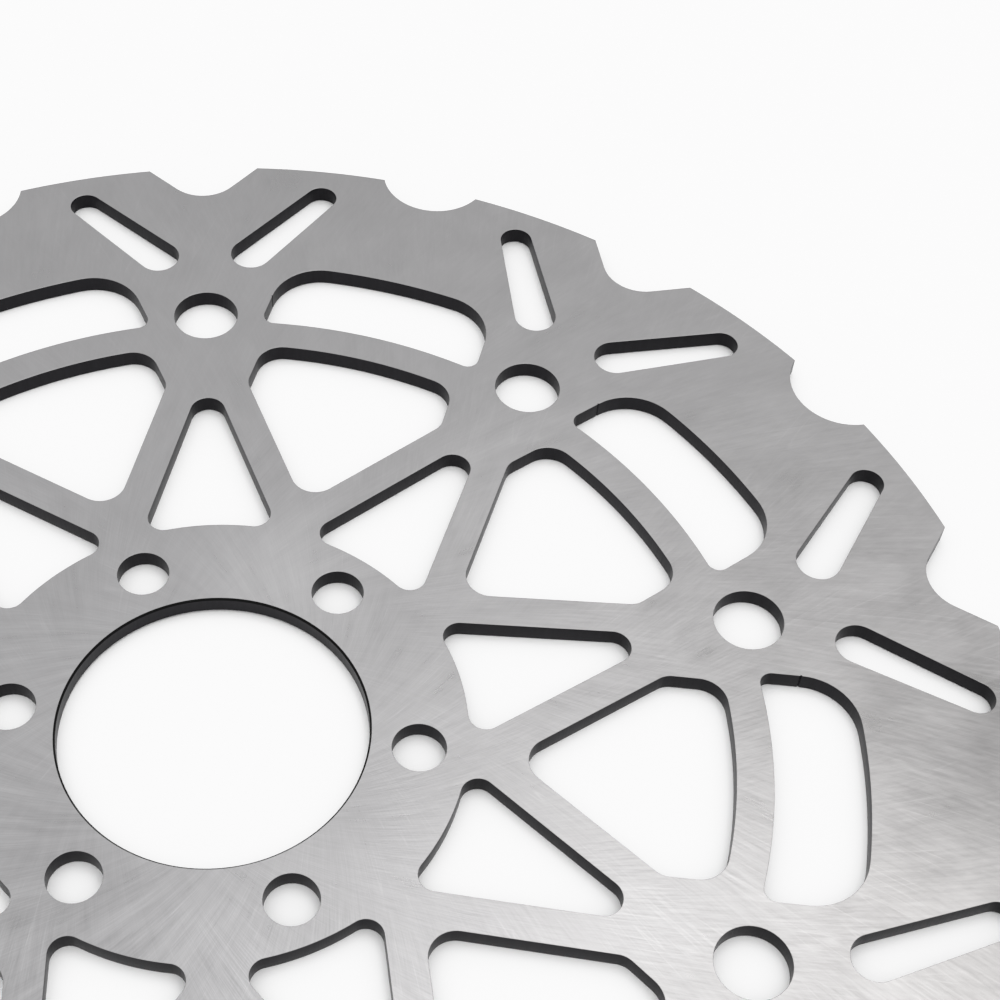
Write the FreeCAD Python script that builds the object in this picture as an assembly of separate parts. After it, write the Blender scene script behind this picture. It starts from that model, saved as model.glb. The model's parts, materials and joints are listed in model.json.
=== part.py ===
"""One-piece motorcycle brake disc: a flat steel plate with cut-out windows.

The back (hub) face lies on Z = 0 and the disc axis is +Z. All lengths are in
millimetres and all angles in degrees. One lug line points along +Y.
"""
import FreeCAD, Part
import math
import os

# ---- driving dimensions: the plate ---------------------------------------
disc_diameter = 320.0
disc_thickness = 4.0
lug_count = 9                   # repeats of the cut-out pattern round the disc

# ---- driving dimensions: the hub -----------------------------------------
bolt_count = 6
bolt_circle_diameter = 80.0
bolt_hole_diameter = 10.6       # clears an M10 screw
bolt_circle_to_bore = 9.75
bolt_circle_to_web = 9.5        # to the foot of the triangle windows
bore_chamfer = 0.4              # 45 degree edge break on both faces

# ---- driving dimensions: rings, from the rim inwards ----------------------
track_width = 33.55             # rim to the arc windows
arc_window_depth = 18.35
ring_width = 7.2                # between the arc windows and the big windows
lug_hole_from_rim = 49.75
lug_hole_diameter = 14.4

# ---- driving dimensions: spokes and windows -------------------------------
spoke_width = 7.1
spoke_cross_to_lug_hole = 4.25  # two spokes cross on the lug line, inside the lug hole
spoke_foot_azimuth = 22.1       # where a spoke starts, measured from its lug line
arc_window_to_lug_hole = 5.3    # wall between the window's side and the lug hole
arc_window_outer_fillet = 11.5
arc_window_inner_fillet = 2.5
big_window_to_lug_hole = 8.3    # wall between the window's side and the lug hole
big_window_top_fillet = 5.9
big_window_knee_fillet = 4.3
big_window_foot_fillet = 5.2
triangle_foot_fillet = 3.4
triangle_apex_fillet = 3.8

# ---- driving dimensions: wiping slots and rim notches ---------------------
slot_inner_from_rim = 29.7      # rim to the centre of the slot's inner end
slot_inner_azimuth = 4.75
slot_inner_radius = 4.7
slot_outer_from_rim = 9.4
slot_outer_azimuth = 10.75
slot_outer_radius = 3.65
vee_notch_depth = 9.8
vee_notch_radius = 9.1
vee_flank_angle = 45.0          # flank against the rim's tangent
round_notch_depth = 7.8
round_notch_radius = 12.5

# ---- sizes that follow from the ones above --------------------------------
disc_radius = disc_diameter / 2.0
lug_pitch = 360.0 / lug_count
bolt_pitch = 360.0 / bolt_count
overshoot = 5.0                 # how far every cutter runs past the plate

bolt_circle_radius = bolt_circle_diameter / 2.0
bore_radius = bolt_circle_radius - bolt_circle_to_bore
web_foot_radius = bolt_circle_radius + bolt_circle_to_web
arc_window_outer_radius = disc_radius - track_width
arc_window_inner_radius = arc_window_outer_radius - arc_window_depth
big_window_radius = arc_window_inner_radius - ring_width

lug_hole_y = disc_radius - lug_hole_from_rim
lug_hole_radius = lug_hole_diameter / 2.0
lug_hole_edge_x = lug_hole_y * math.sin(math.radians(lug_pitch / 2.0)) - lug_hole_radius
arc_window_half_width = lug_hole_edge_x - arc_window_to_lug_hole
big_window_half_width = lug_hole_edge_x - big_window_to_lug_hole

spoke_cross_y = lug_hole_y - spoke_cross_to_lug_hole
spoke_foot_x = web_foot_radius * math.sin(math.radians(spoke_foot_azimuth))
spoke_foot_y = web_foot_radius * math.cos(math.radians(spoke_foot_azimuth))
spoke_tilt = math.atan2(spoke_foot_x, spoke_cross_y - spoke_foot_y)
spoke_edge_shift = spoke_width / 2.0 / math.sin(spoke_tilt)


def point(x, y):
    """A point on the plane where the cutters start, below the plate."""
    return FreeCAD.Vector(x, y, -overshoot)


def raise_outline(edges):
    """Extrude a closed outline right through the plate."""
    face = Part.Face(Part.Wire(edges))
    return face.extrude(FreeCAD.Vector(0, 0, disc_thickness + 2.0 * overshoot))


def polygon_cutter(corners):
    """Straight-sided cutter through the given corners."""
    closed = [point(x, y) for x, y in corners + corners[:1]]
    return raise_outline(Part.makePolygon(closed).Edges)


def round_cutter(x, y, radius):
    """Cylindrical cutter standing at x, y."""
    height = disc_thickness + 2.0 * overshoot
    return Part.makeCylinder(radius, height, point(x, y))


def turned(shape, azimuth):
    """Copy of a shape turned clockwise about the disc axis."""
    copy = shape.copy()
    copy.rotate(FreeCAD.Vector(0, 0, 0), FreeCAD.Vector(0, 0, 1), -azimuth)
    return copy


def upright_edges(cutter, is_wanted):
    """Vertical edges of a cutter whose x, y place passes the test."""
    found = []
    for edge in cutter.Edges:
        start = edge.Vertexes[0].Point
        end = edge.Vertexes[-1].Point
        same_place = math.hypot(end.x - start.x, end.y - start.y) < 1e-6
        if same_place and abs(end.z - start.z) > 1.0 and is_wanted(start.x, start.y):
            found.append(edge)
    return found


def rounded(cutter, radius, is_wanted):
    """Round off the chosen vertical edges of a cutter."""
    return cutter.makeFillet(radius, upright_edges(cutter, is_wanted))


def arc_window():
    """Wide curved window between the lugs, just inside the brake track."""
    ring = round_cutter(0, 0, arc_window_outer_radius)
    ring = ring.cut(round_cutter(0, 0, arc_window_inner_radius))
    side = arc_window_half_width
    band = polygon_cutter([(-side, 0), (side, 0), (side, disc_radius), (-side, disc_radius)])
    window = ring.common(band)
    middle = (arc_window_outer_radius + arc_window_inner_radius) / 2.0
    window = rounded(window, arc_window_outer_fillet, lambda x, y: math.hypot(x, y) > middle)
    return rounded(
        window,
        arc_window_inner_fillet,
        lambda x, y: abs(abs(x) - side) < 0.01 and math.hypot(x, y) < middle,
    )


def big_window():
    """Five-sided window between two neighbouring pairs of spokes."""
    side = big_window_half_width
    lean = spoke_tilt + math.radians(lug_pitch / 2.0)
    edge_distance = (spoke_cross_y + spoke_edge_shift) * math.sin(spoke_tilt)
    foot = edge_distance / math.sin(lean)
    knee = foot + side / math.tan(lean)
    corner_angle = math.acos(side / big_window_radius)
    straight = big_window_radius * math.sin(corner_angle) - knee
    straight = straight - big_window_knee_fillet * math.tan(lean / 2.0)
    top_fillet = min(big_window_top_fillet, 0.99 * straight / math.tan(corner_angle / 2.0))
    sides = polygon_cutter(
        [(0, foot), (side, knee), (side, disc_radius), (-side, disc_radius), (-side, knee)]
    )
    window = sides.common(round_cutter(0, 0, big_window_radius))
    window = rounded(window, big_window_foot_fillet, lambda x, y: abs(x) < 0.01)
    window = rounded(window, big_window_knee_fillet, lambda x, y: abs(y - knee) < 0.01)
    return rounded(
        window,
        top_fillet,
        lambda x, y: abs(abs(x) - side) < 0.01 and math.hypot(x, y) > big_window_radius - 0.01,
    )


def triangle_window():
    """Window on the lug line between the two spokes that cross there."""
    apex = spoke_cross_y - spoke_edge_shift
    half_base = apex * math.tan(spoke_tilt)
    sides = polygon_cutter([(-half_base, 0), (half_base, 0), (0, apex)])
    window = sides.cut(round_cutter(0, 0, web_foot_radius))
    window = rounded(window, triangle_apex_fillet, lambda x, y: abs(x) < 0.01)
    return rounded(window, triangle_foot_fillet, lambda x, y: y < web_foot_radius)


def slot_end(hand, from_rim, azimuth):
    """Centre of one end of a slot; hand is 1 or -1 for the mirrored pair."""
    radius = disc_radius - from_rim
    angle = math.radians(azimuth)
    return point(hand * radius * math.sin(angle), radius * math.cos(angle))


def tapered_slot(hand):
    """Wiping slot in the brake track, wider at its inner end."""
    start = slot_end(hand, slot_inner_from_rim, slot_inner_azimuth)
    end = slot_end(hand, slot_outer_from_rim, slot_outer_azimuth)
    run = end - start
    along = FreeCAD.Vector(run).normalize()
    across = FreeCAD.Vector(-along.y, along.x, 0)
    narrowing = (slot_inner_radius - slot_outer_radius) / run.Length
    spread = math.sqrt(1.0 - narrowing ** 2)
    left = along * narrowing + across * spread
    right = along * narrowing - across * spread
    outline = [
        Part.Arc(
            start + left * slot_inner_radius,
            start - along * slot_inner_radius,
            start + right * slot_inner_radius,
        ).toShape(),
        Part.LineSegment(
            start + right * slot_inner_radius, end + right * slot_outer_radius
        ).toShape(),
        Part.Arc(
            end + right * slot_outer_radius,
            end + along * slot_outer_radius,
            end + left * slot_outer_radius,
        ).toShape(),
        Part.LineSegment(
            end + left * slot_outer_radius, start + left * slot_inner_radius
        ).toShape(),
    ]
    return raise_outline(outline)


def vee_notch():
    """Rim notch with a round bottom and straight flanks, on the lug line."""
    flank = math.radians(vee_flank_angle)
    centre_y = disc_radius - vee_notch_depth + vee_notch_radius
    tangent_x = vee_notch_radius * math.sin(flank)
    tangent_y = centre_y - vee_notch_radius * math.cos(flank)
    top_y = disc_radius + overshoot
    top_x = tangent_x + (top_y - tangent_y) / math.tan(flank)
    bottom = Part.Arc(
        point(-tangent_x, tangent_y),
        point(0, centre_y - vee_notch_radius),
        point(tangent_x, tangent_y),
    )
    flanks = Part.makePolygon(
        [
            point(tangent_x, tangent_y),
            point(top_x, top_y),
            point(-top_x, top_y),
            point(-tangent_x, tangent_y),
        ]
    )
    return raise_outline([bottom.toShape()] + flanks.Edges)


def round_notch():
    """Shallow round rim notch half-way between two lugs."""
    centre_y = disc_radius - round_notch_depth + round_notch_radius
    return round_cutter(0, centre_y, round_notch_radius)


def lug_cutters():
    """Everything that repeats on the nine lug lines."""
    return [
        triangle_window(),
        round_cutter(0, lug_hole_y, lug_hole_radius),
        tapered_slot(1),
        tapered_slot(-1),
        vee_notch(),
    ]


def middle_cutters():
    """Everything that repeats half-way between the lug lines."""
    return [arc_window(), big_window(), round_notch()]


def bored_disc():
    """Plain round plate with its chamfered centre bore."""
    plate = Part.makeCylinder(disc_radius, disc_thickness)
    plate = plate.cut(round_cutter(0, 0, bore_radius))
    bore_edges = []
    for edge in plate.Edges:
        is_circle = isinstance(edge.Curve, Part.Circle)
        if is_circle and abs(edge.Curve.Radius - bore_radius) < 0.01:
            bore_edges.append(edge)
    return plate.makeChamfer(bore_chamfer, bore_edges)


def brake_disc():
    """The finished plate: bored disc minus every cut-out."""
    cutters = []
    for lug in range(lug_count):
        for cutter in lug_cutters():
            cutters.append(turned(cutter, lug * lug_pitch))
        for cutter in middle_cutters():
            cutters.append(turned(cutter, (lug + 0.5) * lug_pitch))
    bolt_hole = round_cutter(0, bolt_circle_radius, bolt_hole_diameter / 2.0)
    for bolt in range(bolt_count):
        cutters.append(turned(bolt_hole, lug_pitch + bolt * bolt_pitch))
    return bored_disc().cut(cutters)


os.makedirs("parts", exist_ok=True)
disc = brake_disc()
disc.Solids[0].exportStep("parts/brake_disc.step")
print("brake_disc solids", len(disc.Solids), "volume", round(disc.Volume), "mm3")
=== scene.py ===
# %% [markdown]
# # A brake disc rotor, cut from one flat plate
# The rotor is the ring that a motorcycle's brake pads squeeze. A laser cuts it from one sheet of
# stainless steel, a grinder finishes both faces, and a turning tool bevels the bore that sits on the hub.
# Nothing is screwed or welded to it, so the whole object is one piece of steel.
#
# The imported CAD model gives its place, size and mounts. Its mesh has coarse flats in its curves, so this
# lesson draws the plate again with smooth curves, in the same place and to the same sizes.

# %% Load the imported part
import json
import math

import bmesh
import bpy
from mathutils import Matrix, Vector


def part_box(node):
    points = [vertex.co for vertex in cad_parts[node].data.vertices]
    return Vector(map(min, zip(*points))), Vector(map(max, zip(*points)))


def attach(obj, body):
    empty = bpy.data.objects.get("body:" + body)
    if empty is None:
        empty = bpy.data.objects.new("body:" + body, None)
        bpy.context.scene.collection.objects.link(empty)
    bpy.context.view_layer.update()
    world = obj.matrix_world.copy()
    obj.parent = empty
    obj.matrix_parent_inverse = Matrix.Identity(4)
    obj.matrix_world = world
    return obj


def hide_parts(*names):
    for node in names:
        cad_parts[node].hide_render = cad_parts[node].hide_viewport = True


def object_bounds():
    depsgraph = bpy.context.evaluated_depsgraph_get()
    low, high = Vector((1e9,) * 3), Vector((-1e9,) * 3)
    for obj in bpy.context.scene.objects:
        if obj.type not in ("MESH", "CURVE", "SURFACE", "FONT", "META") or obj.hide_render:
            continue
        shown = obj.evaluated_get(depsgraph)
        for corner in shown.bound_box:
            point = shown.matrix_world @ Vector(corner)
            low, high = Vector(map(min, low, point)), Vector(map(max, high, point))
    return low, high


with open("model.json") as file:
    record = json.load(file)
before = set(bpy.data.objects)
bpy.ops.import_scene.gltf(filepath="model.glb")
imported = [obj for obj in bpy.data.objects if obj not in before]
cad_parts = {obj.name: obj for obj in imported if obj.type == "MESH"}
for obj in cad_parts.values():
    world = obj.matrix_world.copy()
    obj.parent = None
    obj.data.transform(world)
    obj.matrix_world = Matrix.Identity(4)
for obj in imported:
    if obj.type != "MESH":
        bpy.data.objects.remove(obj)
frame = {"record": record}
cad_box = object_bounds()
print("CAD box in metres:", [tuple(round(value, 4) for value in corner) for corner in cad_box])

# %% [markdown]
# # The sizes that drive the drawing
# A maker's drawing of a disc starts from its centre: the bore, the bolt circle, then the spokes and the
# braking track. The plate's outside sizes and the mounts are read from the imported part, so that both
# models agree. The rest are the drawing's own sizes, in millimetres and degrees.

# %% Read the plate and its mounts
MM = 0.001
lowest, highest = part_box("brake_disc")
mounts = {mount["name"]: mount for mount in frame["record"]["mounts"]}

rim_radius = (highest[0] - lowest[0]) / 2 / MM
thickness = (highest[2] - lowest[2]) / MM
bore_radius = mounts["hub_bore"]["dims"]["r_mm"]
bore_chamfer = (thickness - mounts["hub_bore"]["dims"]["length_mm"]) / 2
bolt_count = mounts["disc_bolts"]["dims"]["count"]
bolt_circle_radius = mounts["disc_bolts"]["dims"]["pcd_mm"] / 2
bolt_hole_radius = mounts["disc_bolts"]["dims"]["hole_r_mm"]
print(f"plate {2 * rim_radius:.1f} mm across and {thickness:.1f} mm thick, bore {2 * bore_radius:.1f} mm")

# %% Name the sizes of the cut-outs
lug_count = 9
pitch = 360 / lug_count
first_bolt_azimuth = 40.0

web_radius = 49.5
lug_circle_radius = 110.25
lug_hole_radius = 7.2
spoke_width = 7.1
spoke_cross = 106.0
spoke_foot_azimuth = 22.1
edge_break = 0.07
print(f"{lug_count} lugs, one every {pitch:.0f} degrees")

# %% [markdown]
# # Drawing with arcs
# Every cut-out is a closed line of round corners and straight stretches that meet without a kink. If the
# arcs are right, the straight stretches come free: each joins the end of one arc to the start of the
# next. So each outline here is only a list of arcs, as a fitter would mark them out with a compass.
# Angles are azimuths: degrees clockwise from the middle line of the cut-out, which points along +Y.

# %% Points along arcs
ARC_STEP = 1.3
ANGLE_STEP = 7.0


def at_azimuth(radius, azimuth):
    """The point that far from the axis, clockwise from +Y."""
    angle = math.radians(azimuth)
    return Vector((radius * math.sin(angle), radius * math.cos(angle)))


def azimuth_of(point):
    """The azimuth of a point, from -180 to 180 degrees."""
    return math.degrees(math.atan2(point[0], point[1]))


def along_arc(centre, radius, start, end):
    """Points on an arc between two azimuths, close enough together to look round."""
    sweep = abs(end - start)
    by_angle = sweep / ANGLE_STEP
    by_length = math.radians(sweep) * radius / ARC_STEP
    steps = max(2, math.ceil(max(by_angle, by_length)))
    return [centre + at_azimuth(radius, start + (end - start) * step / steps) for step in range(steps + 1)]


def along_arcs(arcs):
    """The arcs one after the other; where two of them touch, their shared point comes once."""
    points = []
    for arc in arcs:
        for point in along_arc(*arc):
            if not points or (point - points[-1]).length > 1e-4:
                points.append(point)
    return points


def with_mirror_half(half):
    """A right half, drawn clockwise from the middle line, followed by its mirror image."""
    other = [Vector((-point.x, point.y)) for point in reversed(half[1:-1])]
    return half + other


def turned(points, azimuth):
    """The points turned clockwise about the axis."""
    return [at_azimuth(point.length, azimuth_of(point) + azimuth) for point in points]


AXIS = Vector((0, 0))
print("an arc of 10 mm radius and 90 degrees has", len(along_arc(AXIS, 10, 0, 90)), "points")

# %% [markdown]
# # The windows
# Two rows of windows make the disc light. A curved window lies under the track between two lugs, and a
# kite-shaped one lies below it. Between each lug's pair of crossing spokes there is a tall triangle. All
# corners are rounded, because a sharp inner corner is where a hot disc cracks.
#
# A round corner is known once its centre is. It touches two lines, so its centre lies one corner radius
# away from both. The two helpers below find it, for a corner by an upright wall and for one on a slope.

# %% Centres of round corners
def corner_by_wall(wall, corner, from_axis):
    """Centre of a corner that touches the wall x = wall, at that distance from the axis."""
    across = wall - corner
    return Vector((across, math.sqrt(from_axis**2 - across**2)))


def corner_on_slope(across, corner, foot, lean):
    """Centre of a corner that touches the slope which leaves the middle line at foot, leaning right."""
    angle = math.radians(lean)
    return Vector((across, foot + (corner + across * math.cos(angle)) / math.sin(angle)))


foot_point = at_azimuth(web_radius, spoke_foot_azimuth)
spoke_tilt = math.degrees(math.atan2(foot_point.x, spoke_cross - foot_point.y))
edge_shift = spoke_width / 2 / math.sin(math.radians(spoke_tilt))
print(f"spokes tilt {spoke_tilt:.2f} degrees from their lug's middle line")


# %% [markdown]
# # The curved window
# This window follows the braking track: its outer and inner sides are arcs about the axis, and its ends
# are straight. The laser starts and stops each one on its left end, and where it does, the beam burns a
# little too deep. That tiny groove runs down the wall on every curved window, so it is drawn too.

# %% The beam's starting mark
def with_starting_mark(outline, stop, width=0.5, depth=0.25):
    """A tiny groove in the steel on the left, just before the point where the cut closes."""
    place = min(range(len(outline)), key=lambda index: (outline[index] - stop).length)
    groove = [stop + Vector((0, -width)), stop + Vector((-depth, -width / 2))]
    return outline[:place] + groove + outline[place:]


# %% The curved window
def curved_window(outer_radius=126.45, inner_radius=108.1, wall=25.2, outer_corner=11.5, inner_corner=2.5):
    """Its outline, clockwise from the middle of its outer side."""
    outer = corner_by_wall(wall, outer_corner, outer_radius - outer_corner)
    inner = corner_by_wall(wall, inner_corner, inner_radius + inner_corner)
    half = along_arcs(
        [
            (AXIS, outer_radius, 0, azimuth_of(outer)),
            (outer, outer_corner, azimuth_of(outer), 90),
            (inner, inner_corner, 90, azimuth_of(inner) + 180),
            (AXIS, inner_radius, azimuth_of(inner), 0),
        ]
    )
    return with_starting_mark(with_mirror_half(half), Vector((-wall, outer.y)))


print("curved window:", len(curved_window()), "points")


# %% [markdown]
# # The kite window
# A kite window fills the room between two spokes that belong to different lugs. Its outer side is an arc
# about the axis, its two lower sides lie along the spokes, and its lowest corner is where they would meet.

# %% The kite window
def kite_window(outer_radius=100.9, wall=22.2, outer_corner=5.9, knee=4.3, foot_corner=5.2):
    """Its outline, clockwise from the middle of its outer side."""
    lean = spoke_tilt + pitch / 2
    foot = (spoke_cross + edge_shift) * math.sin(math.radians(spoke_tilt)) / math.sin(math.radians(lean))
    outer = corner_by_wall(wall, outer_corner, outer_radius - outer_corner)
    side = corner_on_slope(wall - knee, knee, foot, lean)
    bottom = corner_on_slope(0, foot_corner, foot, lean)
    half = along_arcs(
        [
            (AXIS, outer_radius, 0, azimuth_of(outer)),
            (outer, outer_corner, azimuth_of(outer), 90),
            (side, knee, 90, 90 + lean),
            (bottom, foot_corner, 90 + lean, 180),
        ]
    )
    return with_mirror_half(half)


print("kite window:", len(kite_window()), "points")


# %% [markdown]
# # The triangle window
# Two spokes leave the inner web and cross at a lug. The triangle is what is left between them. Its foot
# follows the web, and the place where a spoke's side meets the web's corner is found with Pythagoras.

# %% The triangle between crossing spokes
def triangle_window(foot_corner=3.4, top_corner=3.8):
    """Its outline, clockwise from its top corner."""
    tilt = math.radians(spoke_tilt)
    apex = Vector((0, spoke_cross - edge_shift))
    down = Vector((math.sin(tilt), -math.cos(tilt)))
    inward = Vector((-math.cos(tilt), -math.sin(tilt)))
    start = apex + inward * foot_corner
    drop = -start.dot(down)
    reach = drop - math.sqrt(drop**2 - start.length_squared + (web_radius + foot_corner) ** 2)
    foot = start + down * reach
    top = Vector((0, apex.y - top_corner / math.sin(tilt)))
    half = along_arcs(
        [
            (top, top_corner, 0, 90 - spoke_tilt),
            (foot, foot_corner, 90 - spoke_tilt, azimuth_of(foot) + 180),
            (AXIS, web_radius, azimuth_of(foot), 0),
        ]
    )
    return with_mirror_half(half)


print("triangle window:", len(triangle_window()), "points")


# %% [markdown]
# # Slots in the braking track
# Two slanted slots beside each lug wipe dust and water off the pads. Each is a little wider at its inner
# end. A slot is two round ends with straight sides that touch both.

# %% A tapered slot
def tapered_slot(hand, inner_end=(130.3, 4.75, 4.7), outer_end=(150.6, 10.75, 3.65)):
    """Each end is its distance from the axis, its azimuth and its radius. hand is 1 right, -1 left."""
    inner = at_azimuth(inner_end[0], hand * inner_end[1])
    outer = at_azimuth(outer_end[0], hand * outer_end[1])
    length = (outer - inner).length
    heading = azimuth_of(outer - inner)
    spread = math.degrees(math.acos((inner_end[2] - outer_end[2]) / length))
    return along_arcs(
        [
            (outer, outer_end[2], heading - spread, heading + spread),
            (inner, inner_end[2], heading + spread, heading + 360 - spread),
        ]
    )


print("slot:", len(tapered_slot(1)), "points")


# %% [markdown]
# # The wavy rim
# A plain rim would trap heat and dirt. This one has a V-shaped notch at each lug and a shallow round
# notch half-way between two lugs. One pitch of the line is enough: the disc repeats it nine times.

# %% One pitch of the rim
def rim_pitch(vee_depth=9.8, vee_radius=9.1, flank_angle=45.0, round_depth=7.8, round_radius=12.5):
    """Anticlockwise, so that the steel is on the left, from one round notch's bottom to the next."""
    vee = Vector((0, rim_radius - vee_depth + vee_radius))
    flank = math.radians(flank_angle)
    touch = vee + at_azimuth(vee_radius, 180 - flank_angle)
    uphill = Vector((math.cos(flank), math.sin(flank)))
    reach = -touch.dot(uphill) + math.sqrt(touch.dot(uphill) ** 2 - touch.length_squared + rim_radius**2)
    crest = azimuth_of(touch + uphill * reach)
    away = rim_radius - round_depth + round_radius
    bite = math.degrees(math.acos((rim_radius**2 + away**2 - round_radius**2) / (2 * rim_radius * away)))
    notch = at_azimuth(away, pitch / 2)
    notch_start = azimuth_of(at_azimuth(rim_radius, pitch / 2 - bite) - notch) + 360
    right_half = along_arcs(
        [
            (vee, vee_radius, 180, 180 - flank_angle),
            (AXIS, rim_radius, crest, pitch / 2 - bite),
            (notch, round_radius, notch_start, 180 + pitch / 2),
        ]
    )
    left_half = [Vector((-point.x, point.y)) for point in right_half[1:]]
    return list(reversed(right_half)) + left_half


print("one pitch of the rim:", len(rim_pitch()), "points")


# %% [markdown]
# # The section of a wall
# A laser-cut wall isn't razor sharp: after grinding, each edge is broken by less than a tenth of a
# millimetre, and that thin rounded band catches the light. The bore has a real bevel, turned on both
# sides. The wall is made by sweeping its section along the outline, so the section is drawn once: x goes
# from the wall into the steel, and y goes from the lower face to the upper one.

# %% Sections of a cut wall and of the bore
def cut_section():
    """A laser-cut wall with both its broken edges, from the lower face up."""
    steps = 3
    lower = [at_azimuth(edge_break, 180 + 90 * step / steps) for step in range(steps + 1)]
    upper = [at_azimuth(edge_break, 270 + 90 * step / steps) for step in range(steps + 1)]
    bottom = Vector((edge_break, edge_break))
    top = Vector((edge_break, thickness - edge_break))
    return [bottom + point for point in lower] + [top + point for point in upper]


def bore_section():
    """The bore's wall with both its bevels, from the lower face up."""
    return [
        Vector((bore_chamfer, 0)),
        Vector((0, bore_chamfer)),
        Vector((0, thickness - bore_chamfer)),
        Vector((bore_chamfer, thickness)),
    ]


print("cut wall:", len(cut_section()), "points; bore:", len(bore_section()), "points")


# %% [markdown]
# # From drawing to curves
# Blender sweeps and repeats curves, so the drawn points become curve objects here. Each outline is one
# closed spline with straight steps, fine enough to look round. The sections are drawn the other way
# about, because a sweep turns its section by half a turn.

# %% Drawn lines as curve objects
def drawn_lines(name, outlines, closed):
    """One curve object with a straight-edged spline for each outline, sizes turned to metres."""
    curve = bpy.data.curves.new(name, "CURVE")
    curve.dimensions = "3D"
    for outline in outlines:
        spline = curve.splines.new("POLY")
        spline.points.add(len(outline) - 1)
        for place, point in zip(spline.points, outline):
            place.co = (point.x * MM, point.y * MM, 0, 1)
        spline.use_cyclic_u = closed
    drawn = bpy.data.objects.new(name, curve)
    bpy.context.scene.collection.objects.link(drawn)
    return drawn


pitch_cuts = [
    turned(curved_window(), pitch / 2),
    turned(kite_window(), pitch / 2),
    triangle_window(),
    tapered_slot(1),
    tapered_slot(-1),
]
cuts = drawn_lines("one_pitch_of_cuts", pitch_cuts, closed=True)
rim = drawn_lines("one_pitch_of_rim", [rim_pitch()], closed=False)
wall_section = drawn_lines("cut_wall_section", [[-point for point in cut_section()]], closed=False)
bevel_section = drawn_lines("bore_section", [[-point for point in bore_section()]], closed=False)
print("one pitch has", len(cuts.data.splines), "cut-outs besides its round holes")

# %% [markdown]
# # The finish of the ground faces
# The real faces are ground on a turning table. The wheel crosses the plate twice, so its marks lean both
# ways from the radius: about 20 degrees on the track, and about 30 degrees beside the bore. The marks are
# grooves a few thousandths of a millimetre deep, soft smears, and a few bright hairlines.
#
# An image of scratches would repeat and blur. A rule doesn't: if every point knows at which bearing its
# mark started, noise that reads that bearing is the same all along the mark, and so it draws lines.

# %% Start a metal
def new_finish(name):
    """A material, its node tree and its shader."""
    material = bpy.data.materials.new(name)
    material.use_nodes = True
    nodes = material.node_tree
    return material, nodes, nodes.nodes["Principled BSDF"]


def shader_math(nodes, operation, *values):
    """A sum or a function in a node tree; each value is a number or another node's output."""
    made = nodes.nodes.new("ShaderNodeMath")
    made.operation = operation
    for socket, value in zip(made.inputs, values):
        if isinstance(value, bpy.types.NodeSocket):
            nodes.links.new(value, socket)
        else:
            socket.default_value = value
    return made.outputs[0]


def shader_noise(nodes, vector, scale, detail, roughness):
    """Smooth random values from 0 to 1, mostly near 0.5."""
    made = nodes.nodes.new("ShaderNodeTexNoise")
    made.inputs["Scale"].default_value = scale
    made.inputs["Detail"].default_value = detail
    made.inputs["Roughness"].default_value = roughness
    nodes.links.new(vector, made.inputs["Vector"])
    return made.outputs["Fac"]


def add_bump(nodes, shader, height, depth):
    """Makes a height from 0 to 1 look that many metres deep."""
    made = nodes.nodes.new("ShaderNodeBump")
    made.inputs["Strength"].default_value = 1.0
    made.inputs["Distance"].default_value = depth
    nodes.links.new(height, made.inputs["Height"])
    nodes.links.new(made.outputs[0], shader.inputs["Normal"])


ground_face, face_nodes, face_shader = new_finish("ground_face")
face_shader.inputs["Metallic"].default_value = 1.0
print("started the finish", ground_face.name)

# %% Where a point is on the plate
coordinates = face_nodes.nodes.new("ShaderNodeTexCoord").outputs["Object"]
place = face_nodes.nodes.new("ShaderNodeSeparateXYZ")
face_nodes.links.new(coordinates, place.inputs[0])
distance = face_nodes.nodes.new("ShaderNodeVectorMath")
distance.operation = "LENGTH"
face_nodes.links.new(coordinates, distance.inputs[0])
from_axis = distance.outputs["Value"]
bearing = shader_math(face_nodes, "ARCTAN2", place.outputs["Y"], place.outputs["X"])
print("every point knows its distance from the axis and its bearing")


# %% Two families of grinding marks
def along_marks(hand, steady_lean=0.15, hub_lean=0.021):
    """The bearing at which a point's mark started. hand is -1 for marks that lean left, 1 for right.

    A mark leans from the radius by the slope steady_lean + hub_lean / distance from the axis.
    """
    logarithm = shader_math(face_nodes, "LOGARITHM", from_axis, math.e)
    spiral = shader_math(face_nodes, "MULTIPLY", logarithm, steady_lean)
    at_hub = shader_math(face_nodes, "DIVIDE", hub_lean, from_axis)
    lean = shader_math(face_nodes, "SUBTRACT", spiral, at_hub)
    return shader_math(face_nodes, "MULTIPLY_ADD", lean, hand, bearing)


def grinding_marks(start, fineness, length, detail, roughness=0.6):
    """Noise that changes quickly across the marks and slowly along them; length is in metres."""
    across = face_nodes.nodes.new("ShaderNodeCombineXYZ")
    parts = (
        shader_math(face_nodes, "MULTIPLY", shader_math(face_nodes, "COSINE", start), fineness),
        shader_math(face_nodes, "MULTIPLY", shader_math(face_nodes, "SINE", start), fineness),
        shader_math(face_nodes, "DIVIDE", from_axis, length),
    )
    for socket, part in zip(across.inputs, parts):
        face_nodes.links.new(part, socket)
    return shader_noise(face_nodes, across.outputs[0], 1.0, detail, roughness)


leaning_left = along_marks(-1.0)
leaning_right = along_marks(1.0)
print("two families of marks: one leans left, one leans right")


# %% Patches where one family is the stronger
def face_range(value, low, high, at_low, at_high):
    """A value that changes evenly from at_low to at_high, and stays there outside the range."""
    ramp = face_nodes.nodes.new("ShaderNodeMapRange")
    for socket, setting in zip(ramp.inputs[1:5], (low, high, at_low, at_high)):
        socket.default_value = setting
    face_nodes.links.new(value, ramp.inputs["Value"])
    return ramp.outputs[0]


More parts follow.
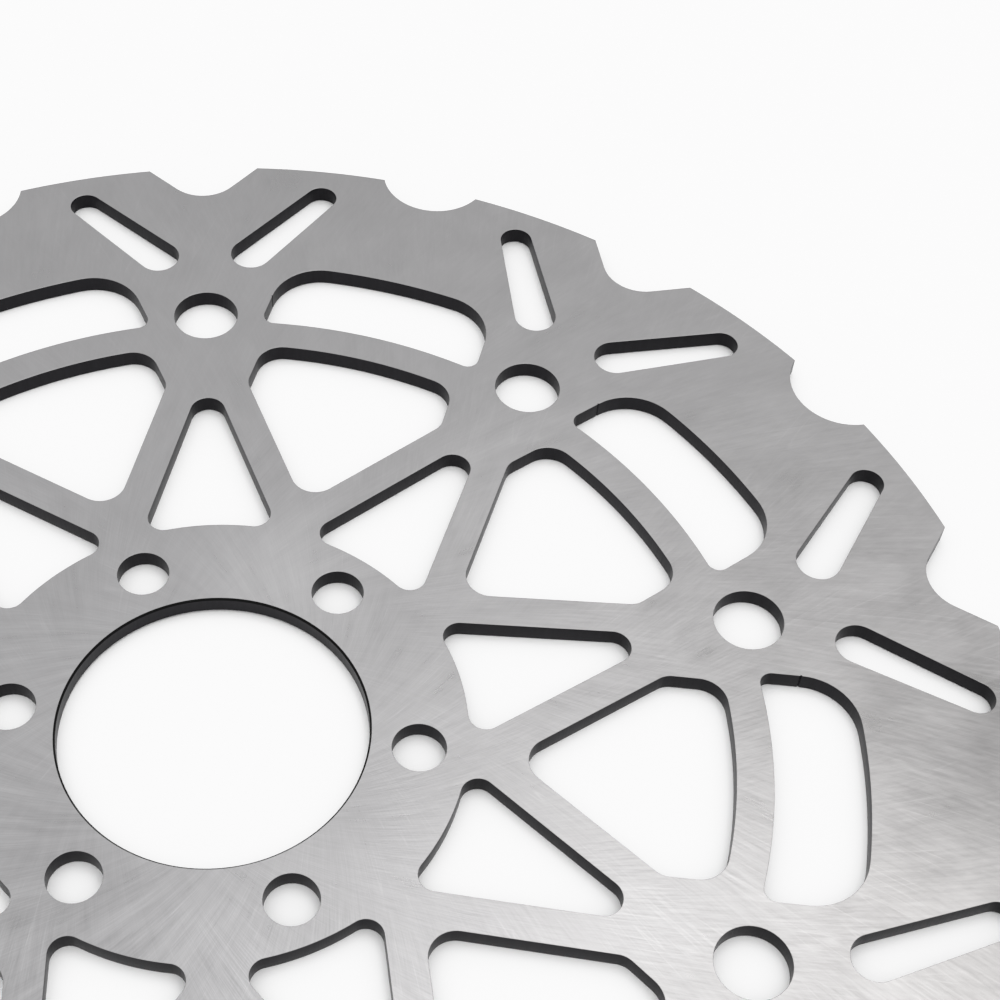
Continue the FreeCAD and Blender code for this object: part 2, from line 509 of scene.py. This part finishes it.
patches = shader_noise(face_nodes, coordinates, scale=34.0, detail=1.0, roughness=0.5)
left_share = face_range(patches, 0.42, 0.58, 0.3, 1.0)
right_share = face_range(patches, 0.42, 0.58, 1.0, 0.3)
BOTH_MIDDLE = 0.65


def both_ways(fineness, length, detail):
    """Marks of both families, each as strong as its patch says. Their middle value is BOTH_MIDDLE."""
    left = grinding_marks(leaning_left, fineness, length, detail)
    right = grinding_marks(leaning_right, 0.9 * fineness, 1.2 * length, detail)
    weighted_right = shader_math(face_nodes, "MULTIPLY", right, right_share)
    return shader_math(face_nodes, "MULTIPLY_ADD", left, left_share, weighted_right)


fine_marks = both_ways(fineness=170.0, length=0.006, detail=2.0)
smears = both_ways(fineness=15.0, length=0.014, detail=4.0)
print("fine marks and smears, mixed from the two families")

# %% [markdown]
# # Grooves and dullness
# The marks are real grooves, so part of what they do to the light is a change of slope. A bump does that
# without a single extra face. The depth below stands for the whole range of the noise, which mostly stays
# near its middle, so the grooves come out a few thousandths of a millimetre deep. Smears also change how
# dull the steel is, which shows where a lamp is mirrored. Both read the same noise, so that a groove and
# its dull band lie in the same place.

# %% Marks as tiny grooves
GROOVE_DEPTH = 0.00002
MIDDLE_DULLNESS = 0.316
depth = face_range(from_axis, bore_radius * MM, rim_radius * MM, 0.5, 1.1)
fine_depth = shader_math(face_nodes, "MULTIPLY", fine_marks, depth)
groove = shader_math(face_nodes, "MULTIPLY_ADD", smears, 1.3, fine_depth)
add_bump(face_nodes, face_shader, groove, GROOVE_DEPTH)

SMEAR_DULLNESS = 0.24
least_dull = MIDDLE_DULLNESS - BOTH_MIDDLE * SMEAR_DULLNESS
dullness = shader_math(face_nodes, "MULTIPLY_ADD", smears, SMEAR_DULLNESS, least_dull)
face_nodes.links.new(dullness, face_shader.inputs["Roughness"])
print(f"noise from 0 to 1 is {GROOVE_DEPTH / MM * 1000:.0f} micrometres, dullness about {MIDDLE_DULLNESS}")

# %% [markdown]
# # Light and dark in the grey
# Bare steel isn't one even grey. The grit leaves light and dark streaks, long hairlines stay from single
# hard grains, and stainless steel clouds a little. All of these are painted stronger on the lower half of
# the plate, as painted sheen where the lamp makes them stand out, and a few places get a painted sheen that
# is brighter or darker than their surroundings, partly the grinding's own tone.


# %% Hair-fine bright scratches
def hairlines(start, fineness, length, half_width=0.02):
    """Thin lines where slow, stretched noise passes its middle value."""
    noise = grinding_marks(start, fineness, length, detail=0.0)
    from_middle = shader_math(face_nodes, "ABSOLUTE", shader_math(face_nodes, "SUBTRACT", noise, 0.5))
    return face_range(from_middle, 0.0, half_width, 1.0, 0.0)


hairs_left = hairlines(leaning_left, fineness=38.0, length=0.040)
hairs_right = hairlines(leaning_right, fineness=42.0, length=0.045)
scatter = shader_noise(face_nodes, coordinates, scale=75.0, detail=1.0, roughness=0.5)
scattered = face_range(scatter, 0.48, 0.60, 0.0, 0.16)
all_hairs = shader_math(face_nodes, "ADD", hairs_left, hairs_right)
hairs = shader_math(face_nodes, "MULTIPLY", all_hairs, scattered)
print("hairlines in both families, scattered")


# %% Streaks and clouds
def about_zero(noise, middle, strength):
    """A noise turned into a change of grey that is nothing on average."""
    return shader_math(face_nodes, "MULTIPLY_ADD", noise, strength, -middle * strength)


clouds = shader_noise(face_nodes, coordinates, scale=40.0, detail=3.0, roughness=0.55)
marks = hairs
for layer in (
    about_zero(smears, BOTH_MIDDLE, 0.80),
    about_zero(clouds, 0.5, 0.35),
    about_zero(fine_marks, BOTH_MIDDLE, 0.55),
):
    marks = shader_math(face_nodes, "ADD", marks, layer)

# Painted sheen: the streaks and clouds are painted stronger towards the lower half, where the lamp's sheen
# makes real streaks stand out.
painted_sheen = face_range(place.outputs["Y"], -0.06, 0.09, 0.92, 0.2)
away_from_hub = face_range(from_axis, bore_radius * MM, 0.095, 0.62, 1.0)
strength = shader_math(face_nodes, "MULTIPLY", painted_sheen, away_from_hub)
even_grey = shader_math(face_nodes, "MULTIPLY_ADD", marks, strength, 0.98)
print("smears, clouds and fine streaks, stronger on the handled half")


# %% Painted sheen: darker and brighter places
def sheen_spot(x, y, radius, change):
    """A round place on the plate, sizes in millimetres, where the grey changes and fades out."""
    offset = face_nodes.nodes.new("ShaderNodeVectorMath")
    offset.operation = "DISTANCE"
    offset.inputs[1].default_value = (x * MM, y * MM, 0)
    face_nodes.links.new(coordinates, offset.inputs[0])
    spot = face_range(offset.outputs["Value"], 0.0, radius * MM, change, 0.0)
    spot.node.interpolation_type = "SMOOTHSTEP"
    return spot


grey = even_grey
# Painted sheen, partly the grinding's own tone: each spot makes the grey brighter or darker where the lamp's
# reflection is.
for spot in (
    sheen_spot(-26, -30, 25, -0.09),
    sheen_spot(150, -12, 34, -0.18),
    sheen_spot(30, -18, 20, -0.09),
    sheen_spot(104, 0, 22, -0.10),
    sheen_spot(14, 36, 26, 0.20),
    sheen_spot(64, 54, 40, 0.12),
    sheen_spot(132, -66, 46, 0.22),
    sheen_spot(96, -24, 70, 0.08),
):
    grey = shader_math(face_nodes, "ADD", grey, spot)

print("eight soft spots on the grey")

# %% The steel's own grey, a little warmer towards the lower right
GREY_LEVEL = (0.283, 0.280, 0.284)
WARMER = (0.004, 0.0, -0.007)


def colour_by_tone(nodes, shader, tone):
    """The socket for a colour that the shader takes times a tone that changes over the surface."""
    made = nodes.nodes.new("ShaderNodeVectorMath")
    made.operation = "SCALE"
    nodes.links.new(tone, made.inputs["Scale"])
    nodes.links.new(made.outputs[0], shader.inputs["Base Color"])
    return made.inputs[0]


steel_colour = face_nodes.nodes.new("ShaderNodeVectorMath")
steel_colour.operation = "MULTIPLY_ADD"
steel_colour.inputs[1].default_value = WARMER
steel_colour.inputs[2].default_value = GREY_LEVEL
to_the_right = face_range(place.outputs["X"], 0.0, 0.13, 0.0, 1.0)
warmth = shader_math(face_nodes, "MULTIPLY", painted_sheen, to_the_right)
face_nodes.links.new(warmth, steel_colour.inputs[0])
face_nodes.links.new(steel_colour.outputs[0], colour_by_tone(face_nodes, face_shader, grey))
print("the ground face has", len(face_nodes.nodes), "nodes")

# %% [markdown]
# # Cut walls and the bore's bevel
# A laser melts its way through and leaves a dark, slightly glassy scale, with drag lines that run from
# the upper face to the lower one. The scale is a nearly black coat, so it isn't a metal here. Its drag
# lines are noise that is stretched along the thickness. The bevel of the bore is turned after that, and
# it leans away from the light. Its near-black colour is painted shade, the dark that it mirrors, so it is
# the darkest part of the plate.

# %% The laser-cut wall
DRAG_DEPTH = 0.00003
DARK_SCALE = (0.0105, 0.0099, 0.0120)


def stretched_place(nodes, scale):
    """The place on the plate, with each direction scaled, so that noise looks drawn out."""
    made = nodes.nodes.new("ShaderNodeMapping")
    made.inputs["Scale"].default_value = scale
    nodes.links.new(nodes.nodes.new("ShaderNodeTexCoord").outputs["Object"], made.inputs["Vector"])
    return made.outputs[0]


cut_wall, wall_nodes, wall_shader = new_finish("laser_cut_wall")
drag_place = stretched_place(wall_nodes, (1.0, 1.0, 0.06))
drag_lines = shader_noise(wall_nodes, drag_place, scale=2600.0, detail=2.0, roughness=0.5)
add_bump(wall_nodes, wall_shader, drag_lines, DRAG_DEPTH)
scale_tone = shader_noise(wall_nodes, drag_place, scale=900.0, detail=3.0, roughness=0.6)
uneven = shader_math(wall_nodes, "MULTIPLY_ADD", scale_tone, 0.8, 0.6)
colour_by_tone(wall_nodes, wall_shader, uneven).default_value = DARK_SCALE
wall_shader.inputs["Roughness"].default_value = 0.30
wall_shader.inputs["Specular IOR Level"].default_value = 0.08
print("the cut wall has", len(wall_nodes.nodes), "nodes")

# %% The turned bevel
TURNING_DEPTH = 0.00001
bore_bevel, bevel_nodes, bevel_shader = new_finish("turned_bore")
turning_place = stretched_place(bevel_nodes, (0.02, 0.02, 1.0))
turning_lines = shader_noise(bevel_nodes, turning_place, scale=9000.0, detail=1.0, roughness=0.5)
add_bump(bevel_nodes, bevel_shader, turning_lines, TURNING_DEPTH)
# Painted shade: the near-black colour stands for the dark surroundings that the turned bevel mirrors.
bevel_shader.inputs["Base Color"].default_value = (0.004, 0.004, 0.004, 1)
bevel_shader.inputs["Roughness"].default_value = 0.4
bevel_shader.inputs["Specular IOR Level"].default_value = 0.05
print("the bevel has fine lines that run round the bore")

# %% [markdown]
# # The plate as a rule
# The tree below is the drawing office's rule for the plate: take one pitch of cut-outs, repeat it around
# the axis, add the round holes, sweep the wall sections along every outline, and close the two faces.
# Cutting 61 solids out of a plate would do it as well, but a rule keeps every wall's points in order,
# has no stray slivers, and a change to one size redraws all nine pitches.

# %% Start the tree and its inputs
tree = bpy.data.node_groups.new("disc_from_one_pitch", "GeometryNodeTree")
tree.is_modifier = True
given_values = {}


def tree_input(name, kind, value):
    """A named input of the rule, and the value that this plate gives it."""
    socket = tree.interface.new_socket(name=name, in_out="INPUT", socket_type=kind)
    given_values[socket.identifier] = value


tree_input("Lugs", "NodeSocketInt", lug_count)
tree_input("Bolt Holes", "NodeSocketInt", bolt_count)
tree_input("Bolt Circle Radius", "NodeSocketFloat", bolt_circle_radius * MM)
tree_input("Bolt Hole Radius", "NodeSocketFloat", bolt_hole_radius * MM)
tree_input("First Bolt Turn", "NodeSocketFloat", -math.radians(first_bolt_azimuth))
tree_input("Lug Circle Radius", "NodeSocketFloat", lug_circle_radius * MM)
tree_input("Lug Hole Radius", "NodeSocketFloat", lug_hole_radius * MM)
tree_input("Bore Radius", "NodeSocketFloat", bore_radius * MM)
tree_input("Thickness", "NodeSocketFloat", thickness * MM)
tree_input("Cuts", "NodeSocketObject", cuts)
tree_input("Rim", "NodeSocketObject", rim)
tree_input("Wall Section", "NodeSocketObject", wall_section)
tree_input("Bore Section", "NodeSocketObject", bevel_section)
tree.interface.new_socket(name="Geometry", in_out="OUTPUT", socket_type="NodeSocketGeometry")
given = tree.nodes.new("NodeGroupInput")
print("the rule has", len(given_values), "inputs")


# %% [markdown]
# # Short ways to add nodes
# Every node needs its kind, its settings and its inputs. Six small helpers say that in one line each.

# %% Short ways to add nodes
def node(kind, **settings):
    """A new node of that kind, with its settings."""
    made = tree.nodes.new(kind)
    for name, value in settings.items():
        setattr(made, name, value)
    return made


def feed(target, values):
    """Sets or links a node's inputs by name."""
    for name, value in values.items():
        socket = target.inputs[name]
        if isinstance(value, bpy.types.NodeSocket):
            tree.links.new(value, socket)
        else:
            socket.default_value = value
    return target


def join(*geometries):
    """Several geometries as one."""
    made = node("GeometryNodeJoinGeometry")
    for geometry in geometries:
        tree.links.new(geometry, made.inputs["Geometry"])
    return made.outputs["Geometry"]


def lines_of(name):
    """The curves of a drawn object that the modifier names."""
    info = feed(node("GeometryNodeObjectInfo"), {"Object": given.outputs[name]})
    return info.outputs["Geometry"]


def math_step(operation, first, second):
    """A sum in the tree; each value is a number or another node's output."""
    return shader_math(tree, operation, first, second)


def vector_of(**parts):
    """A vector from its X, Y and Z; those not given are zero."""
    return feed(node("ShaderNodeCombineXYZ"), parts).outputs[0]


print("six helpers:", *[helper.__name__ for helper in (node, feed, join, lines_of, math_step, vector_of)])


# %% [markdown]
# # Repeat and add the round holes
# A dividing head turns the work by equal angles, and a set of points with a turn each does the same. The
# lug holes belong to a pitch. The bolt holes have a circle and a count of their own, six of them, so
# they are repeated apart from the rest.

# %% Repeat around the axis
def around(geometry, count, start=0.0):
    """Copies of a geometry, evenly spaced about the axis."""
    points = feed(node("GeometryNodePoints"), {"Count": count})
    step = math_step("DIVIDE", math.tau, count)
    index = node("GeometryNodeInputIndex").outputs[0]
    angle = math_step("ADD", math_step("MULTIPLY", index, step), start)
    copies = feed(
        node("GeometryNodeInstanceOnPoints"),
        {"Points": points.outputs[0], "Instance": geometry, "Rotation": vector_of(Z=angle)},
    )
    return feed(node("GeometryNodeRealizeInstances"), {"Geometry": copies.outputs[0]}).outputs[0]


def round_hole(radius, distance, resolution):
    """A circle on +Y, drawn clockwise so that the steel is on its left."""
    drawn = node("GeometryNodeCurvePrimitiveCircle", mode="RADIUS")
    circle = feed(drawn, {"Radius": radius, "Resolution": resolution})
    clockwise = feed(node("GeometryNodeReverseCurve"), {"Curve": circle.outputs[0]})
    offset = vector_of(Y=distance)
    moved = feed(node("GeometryNodeTransform"), {"Geometry": clockwise.outputs[0], "Translation": offset})
    return moved.outputs[0]


lug_hole = round_hole(given.outputs["Lug Hole Radius"], given.outputs["Lug Circle Radius"], resolution=56)
bolt_hole = round_hole(given.outputs["Bolt Hole Radius"], given.outputs["Bolt Circle Radius"], resolution=48)
bore = round_hole(given.outputs["Bore Radius"], 0.0, resolution=180)

one_pitch = join(lines_of("Cuts"), lug_hole)
holes = join(
    around(one_pitch, given.outputs["Lugs"]),
    around(bolt_hole, given.outputs["Bolt Holes"], given.outputs["First Bolt Turn"]),
)
rim_pieces = around(lines_of("Rim"), given.outputs["Lugs"])
print("cut-outs repeat", lug_count, "times and bolt holes", bolt_count, "times")

# %% [markdown]
# # One line for the rim
# Nine pieces of rim touch end to end, but a sweep needs one closed line. Turned into edges, the touching
# ends are welded, and the ring of edges becomes a single curve again.

# %% Close the rim into one line
WELD = 2e-6
rim_edges = feed(node("GeometryNodeCurveToMesh"), {"Curve": rim_pieces})
rim_welded = feed(node("GeometryNodeMergeByDistance"), {"Geometry": rim_edges.outputs[0], "Distance": WELD})
rim_line = feed(node("GeometryNodeMeshToCurve"), {"Mesh": rim_welded.outputs[0]})
print(f"rim pieces weld where they are less than {WELD / MM} mm apart")


# %% [markdown]
# # The walls
# Every outline runs with the steel on its left, so one section serves them all. A wall's flat part takes
# the laser's dark scale. The narrow sloping bands at its edges were ground with the faces, so they take
# the ground finish, and on the bore the sloping bands are the turned bevel.

# %% Sweep the walls
SLOPED = 0.3


def swept(lines, section):
    """A wall along each line. The flip makes its faces look out of the steel."""
    upright = feed(node("GeometryNodeSetCurveNormal", mode="Z_UP"), {"Curve": lines})
    wall = feed(node("GeometryNodeCurveToMesh"), {"Curve": upright.outputs[0], "Profile Curve": section})
    return feed(node("GeometryNodeFlipFaces"), {"Mesh": wall.outputs[0]}).outputs[0]


def finished(geometry, material, chosen=True):
    """The geometry with a finish on the chosen faces."""
    made = node("GeometryNodeSetMaterial")
    return feed(made, {"Geometry": geometry, "Material": material, "Selection": chosen}).outputs[0]


normal = feed(node("ShaderNodeSeparateXYZ"), {"Vector": node("GeometryNodeInputNormal").outputs["Normal"]})
levelness = math_step("ABSOLUTE", normal.outputs["Z"], 0.0)
sloped = math_step("GREATER_THAN", levelness, SLOPED)
cut_walls = finished(swept(join(holes, rim_line.outputs[0]), lines_of("Wall Section")), cut_wall)
cut_walls = finished(cut_walls, ground_face, sloped)
bore_wall = finished(swept(bore, lines_of("Bore Section")), cut_wall)
bore_wall = finished(bore_wall, bore_bevel, sloped)
walls = join(cut_walls, bore_wall)
print("walls take", cut_wall.name, "and", bore_bevel.name)


# %% [markdown]
# # The two faces
# A face is the flat sheet between all the walls' edges at one height. The walls' open edges are picked by
# height, turned into closed curves and filled; a curve inside another leaves a hole. That is why no cut
# has to be made.

# %% Close the two faces
def face_at(height, upper):
    """A flat face between the walls' open edges at that height."""
    position = feed(node("ShaderNodeSeparateXYZ"), {"Vector": node("GeometryNodeInputPosition").outputs[0]})
    half = math_step("MULTIPLY", given.outputs["Thickness"], 0.5)
    side = math_step("GREATER_THAN" if upper else "LESS_THAN", position.outputs["Z"], half)
    neighbours = node("GeometryNodeInputMeshEdgeNeighbors").outputs[0]
    open_edge = math_step("LESS_THAN", neighbours, 1.5)
    chosen = math_step("MULTIPLY", side, open_edge)
    ring = feed(node("GeometryNodeMeshToCurve"), {"Mesh": walls, "Selection": chosen})
    filled = feed(node("GeometryNodeFillCurve", mode="TRIANGLES"), {"Curve": ring.outputs[0]})
    lift = vector_of(Z=height)
    placed = feed(node("GeometryNodeTransform"), {"Geometry": filled.outputs[0], "Translation": lift})
    return placed.outputs[0]


top_face = finished(face_at(given.outputs["Thickness"], True), ground_face)
under_face = feed(node("GeometryNodeFlipFaces"), {"Mesh": face_at(0.0, False)}).outputs[0]
faces = join(top_face, finished(under_face, ground_face))
print("both faces take", ground_face.name)

# %% [markdown]
# # Weld and shade
# Walls and faces share their border points, so a weld makes one closed skin. Shading then has to be told
# what is round: walls are smooth along their curves, real corners stay sharp, and the faces stay flat.

# %% Weld and hand over
LEVEL = 0.999
SHARP_ANGLE = math.radians(35)
welded = feed(node("GeometryNodeMergeByDistance"), {"Geometry": join(walls, faces), "Distance": WELD})


def shaded(geometry, domain, chosen, smooth):
    """The geometry with smooth or flat shading on the chosen faces or edges."""
    made = feed(
        node("GeometryNodeSetShadeSmooth", domain=domain),
        {"Geometry": geometry, "Selection": chosen, "Shade Smooth": smooth},
    )
    return made.outputs[0]


level = math_step("GREATER_THAN", levelness, LEVEL)
edge_angle = node("GeometryNodeInputMeshEdgeAngle").outputs["Unsigned Angle"]
crease = math_step("GREATER_THAN", edge_angle, SHARP_ANGLE)
smooth_walls = shaded(welded.outputs[0], "FACE", True, True)
creased = shaded(smooth_walls, "EDGE", crease, False)
flat_faces = shaded(creased, "FACE", level, False)
realized = feed(node("GeometryNodeRealizeInstances"), {"Geometry": flat_faces})
handed_over = node("NodeGroupOutput")
tree.links.new(realized.outputs[0], handed_over.inputs["Geometry"])
print("the rule has", len(tree.nodes), "nodes")

# %% [markdown]
# # Run the rule
# The rule is a modifier on an empty object. Its sizes are given by each input's identifier, then its
# result is kept as a plain mesh, and the helper objects go. The plate's own object sits at the origin,
# with its place in its mesh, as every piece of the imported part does.

# %% Run the rule and keep its mesh
carrier = bpy.data.objects.new("plate_rule", bpy.data.meshes.new("plate_rule"))
bpy.context.scene.collection.objects.link(carrier)
rule = carrier.modifiers.new("disc_from_one_pitch", "NODES")
rule.node_group = tree
for identifier, value in given_values.items():
    rule[identifier] = value
depsgraph = bpy.context.evaluated_depsgraph_get()
plate_mesh = bpy.data.meshes.new_from_object(carrier.evaluated_get(depsgraph), depsgraph=depsgraph)
plate_mesh.name = "rotor_plate"
plate = bpy.data.objects.new("rotor_plate", plate_mesh)
bpy.context.scene.collection.objects.link(plate)
for helper in (carrier, cuts, rim, wall_section, bevel_section):
    bpy.data.objects.remove(helper)
print("plate:", len(plate_mesh.vertices), "corners,", len(plate_mesh.polygons), "faces")

# %% [markdown]
# # Check the skin and hand it over
# A plate that can be milled or printed has a closed skin: every edge joins exactly two faces. Its volume
# should also be close to that of the imported plate's solid, which is 175957 cubic millimetres. After that,
# two calls hand the plate over: it rides on the part's one body, and the imported plate is hidden, so that
# this one stands in for it.

# %% Check that it is closed
check = bmesh.new()
check.from_mesh(plate_mesh)
loose = [edge for edge in check.edges if len(edge.link_faces) != 2]
print("open or doubled edges:", len(loose), "volume in mm3:", round(check.calc_volume() / MM**3, 1))
check.free()
print("materials:", [material.name for material in plate_mesh.materials])

# %% Hand the plate over
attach(plate, "root")
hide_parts("brake_disc")
print(plate.name, "rides on root and stands for brake_disc")

# %% [markdown]
# # Floor
# The disc lies flat on a pale studio floor. The floor is a large plain sheet, so large that its edge is
# never seen, a hair below the plate so that the two never fight for the same height.

# %% Floor
FLOOR_HALF_SIZE = 30.0
FLOOR_GAP = 0.0002
floor_mesh = bpy.data.meshes.new("floor")
corners = [Vector(signs) * FLOOR_HALF_SIZE for signs in ((-1, -1, 0), (1, -1, 0), (1, 1, 0), (-1, 1, 0))]
floor_mesh.from_pydata(corners, [], [(0, 1, 2, 3)])
floor = bpy.data.objects.new("floor", floor_mesh)
bpy.context.scene.collection.objects.link(floor)
floor.location.z = cad_box[0][2] - FLOOR_GAP
pale, _, pale_shader = new_finish("pale_floor")
pale_shader.inputs["Base Color"].default_value = (0.97, 0.97, 0.97, 1)
pale_shader.inputs["Roughness"].default_value = 0.9
floor_mesh.materials.append(pale)
print("floor", 2 * FLOOR_HALF_SIZE, "m wide at height", round(floor.location.z, 5))

# %% [markdown]
# # Light
# A studio lights ground steel with one large soft lamp overhead and pale walls all round, because the
# steel mirrors whatever surrounds it. The lamp is set by how bright its surface is, so a change to its
# size leaves its mirror image as bright as before. The walls are the world: brighter towards the top, and
# brighter again close to the floor.

# %% One soft lamp overhead
LAMP_WIDTH, LAMP_DEPTH = 0.54, 1.05
LAMP_BRIGHTNESS = 2.725
LAMP_PLACE = (0.34, 0.28, 1.504)
lamp_data = bpy.data.lights.new("overhead", "AREA")
lamp_data.shape = "RECTANGLE"
lamp_data.size = LAMP_WIDTH
lamp_data.size_y = LAMP_DEPTH
lamp_data.energy = LAMP_BRIGHTNESS * math.pi * LAMP_WIDTH * LAMP_DEPTH
lamp = bpy.data.objects.new("overhead", lamp_data)
lamp.location = LAMP_PLACE
bpy.context.scene.collection.objects.link(lamp)
print(f"overhead lamp {LAMP_WIDTH} by {LAMP_DEPTH} m, {lamp_data.energy:.2f} W")

# %% Pale walls all round
WALLS_LOW = 0.3625
WALLS_RISE = 1.1875
NEAR_FLOOR = 0.60
NEAR_FLOOR_TOP = 0.35
world = bpy.data.worlds.new("studio")
world.use_nodes = True
sky = world.node_tree
direction = sky.nodes.new("ShaderNodeSeparateXYZ")
sky.links.new(sky.nodes.new("ShaderNodeTexCoord").outputs["Generated"], direction.inputs[0])
height = shader_math(sky, "MAXIMUM", direction.outputs["Z"], 0.0)
walls_light = shader_math(sky, "MULTIPLY_ADD", height, WALLS_RISE, WALLS_LOW)
low_band = shader_math(sky, "MULTIPLY_ADD", height, -NEAR_FLOOR / NEAR_FLOOR_TOP, NEAR_FLOOR)
brightness = shader_math(sky, "ADD", walls_light, shader_math(sky, "MAXIMUM", low_band, 0.0))
sky.nodes["Background"].inputs["Color"].default_value = (1, 1, 1, 1)
sky.links.new(brightness, sky.nodes["Background"].inputs["Strength"])
bpy.context.scene.world = world
print(f"walls from {WALLS_LOW + NEAR_FLOOR:.2f} near the floor to {WALLS_LOW + WALLS_RISE:.2f} overhead")

# %% [markdown]
# # Film
# A bright floor has to stay white without turning the plate's grey pale. The curve below leaves all
# darker values as they are, and bends the bright ones gently, so that the floor ends just under white.

# %% The film's response
FILM_TOP = 1.5
ALL_COLOURS = 3
film = bpy.context.scene.view_settings
film.view_transform = "Standard"
film.use_curve_mapping = True
film.curve_mapping.white_level = (FILM_TOP, FILM_TOP, FILM_TOP)
response = film.curve_mapping.curves[ALL_COLOURS]
for light, shown in ((0.40, 0.600), (0.54, 0.790), (0.64, 0.890), (0.75, 0.945), (0.90, 0.968)):
    response.points.new(light, shown)
response.points[-1].location = (1.0, 0.975)
film.curve_mapping.update()
print("film curve with", len(response.points), "points")

# %% [markdown]
# # Camera
# The camera stands close to the disc, looks down at it at about 50 degrees, and crops it: the bore is at
# the lower left and the rim runs off on three sides. The lens is shifted a little sideways. That moves
# the view along the plate without turning the camera, so the round holes keep their slant.

# %% Camera
CAMERA_PLACE = Vector((0.012715, -0.20303, 0.326146))
LOOKS_AT = Vector((0.042171, 0.057089, 0))
CAMERA_ROLL = math.radians(2.6606)
camera = bpy.data.objects.new("camera", bpy.data.cameras.new("camera"))
bpy.context.scene.collection.objects.link(camera)
camera.location = CAMERA_PLACE
aim = LOOKS_AT - camera.location
roll = Matrix.Rotation(CAMERA_ROLL, 4, "Z")
camera.rotation_euler = (aim.to_track_quat("-Z", "Y").to_matrix().to_4x4() @ roll).to_euler()
camera.data.lens = 70.286
camera.data.shift_x = 0.0923
camera.data.clip_start = 0.01
bpy.context.scene.camera = camera
print(f"camera {aim.length * 1000:.0f} mm from the point it looks at")
